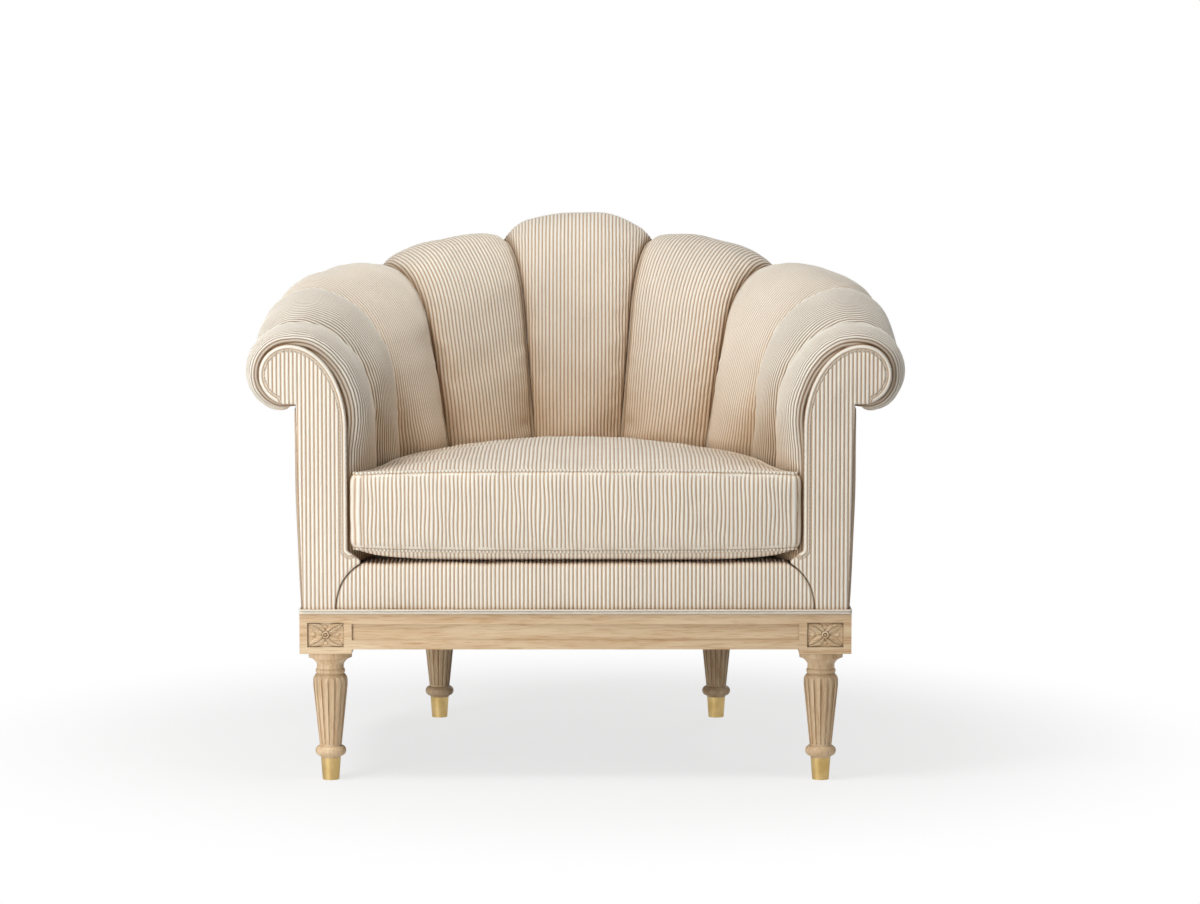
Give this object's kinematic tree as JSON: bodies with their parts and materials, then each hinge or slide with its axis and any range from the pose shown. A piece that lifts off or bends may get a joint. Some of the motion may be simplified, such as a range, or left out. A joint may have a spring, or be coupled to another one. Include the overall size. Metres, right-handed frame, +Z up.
{
  "type": "channel back armchair",
  "caption": "Barrel armchair with a scalloped channel-tufted back that rolls over at the top, a loose seat cushion and turned, brass-tipped legs on a show-wood base.",
  "frame": {"origin": "on the floor, under the middle of the chair's bounding box", "axes": "+Z up, the chair faces -Y, +X to the right of someone who looks at its front"},
  "size_m": [0.9364, 0.7418, 0.788],
  "materials": {
    "oak": "pale oak, oiled, satin",
    "frame_wood": "planed beech, unfinished",
    "plywood": "birch plywood, sawn",
    "brass": "satin brass",
    "zip_metal": "cast brass",
    "steel": "zinc-plated steel",
    "corduroy": "cream wide-wale cotton corduroy",
    "welt": "cream cotton double welt",
    "decking": "plain cotton decking cloth",
    "padding": "needled cotton felt",
    "foam": "polyurethane foam in a fibre wrap",
    "hessian": "woven hessian",
    "dust_cloth": "black non-woven cloth",
    "zip_tape": "cotton tape with coil teeth"
  },
  "bodies": {
    "chair": {"arm_facing_left": "corduroy", "arm_facing_right": "corduroy", "arm_rail_left": "frame_wood", "arm_rail_right": "frame_wood", "arm_stump_left": "frame_wood", "arm_stump_right": "frame_wood", "back_former_left": "plywood", "back_former_right": "plywood", "backing_cloth": "hessian", "base_welt": "welt", "channel_centre": "corduroy", "channel_left_1": "corduroy", "channel_left_2": "corduroy", "channel_left_3": "corduroy", "channel_left_4": "corduroy", "channel_right_1": "corduroy", "channel_right_2": "corduroy", "channel_right_3": "corduroy", "channel_right_4": "corduroy", "corner_braces": "frame_wood", "crest_rail": "frame_wood", "deck_cloth": "decking", "deck_front": "corduroy", "deck_pad": "padding", "dust_cover": "dust_cloth", "ferrule_pins": "brass", "front_block_left": "oak", "front_block_right": "oak", "front_ferrule_left": "brass", "front_ferrule_right": "brass", "front_leg_left": "oak", "front_leg_right": "oak", "front_rail": "oak", "leg_bolts": "steel", "outside_arm_left": "corduroy", "outside_arm_right": "corduroy", "outside_back": "corduroy", "rear_block_left": "oak", "rear_block_right": "oak", "rear_ferrule_left": "brass", "rear_ferrule_right": "brass", "rear_leg_left": "oak", "rear_leg_right": "oak", "rear_rail": "oak", "seat_rail_back": "frame_wood", "seat_rail_front": "frame_wood", "seat_rail_left": "frame_wood", "seat_rail_right": "frame_wood", "seat_springs": "steel", "side_former_left": "plywood", "side_former_right": "plywood", "side_rail_left": "oak", "side_rail_right": "oak", "spring_clips": "steel", "spring_insulator": "hessian"},
    "cushion": {"cushion_cover": "corduroy", "cushion_core": "foam", "zip_tape": "zip_tape"},
    "zip_slider": {"zip_slider": "zip_metal"}
  },
  "joints": [
    {"name": "cushion_lift", "type": "slide", "parent": "chair", "child": "cushion", "axis": [0, 0, 1], "range_m": [0, 0.3]},
    {"name": "zip_slide", "type": "hinge", "parent": "cushion", "child": "zip_slider", "pos_m": [0, -0.07326, 0.38825], "axis": [0, 0, -1], "range_deg": [0, 46]}
  ]
}
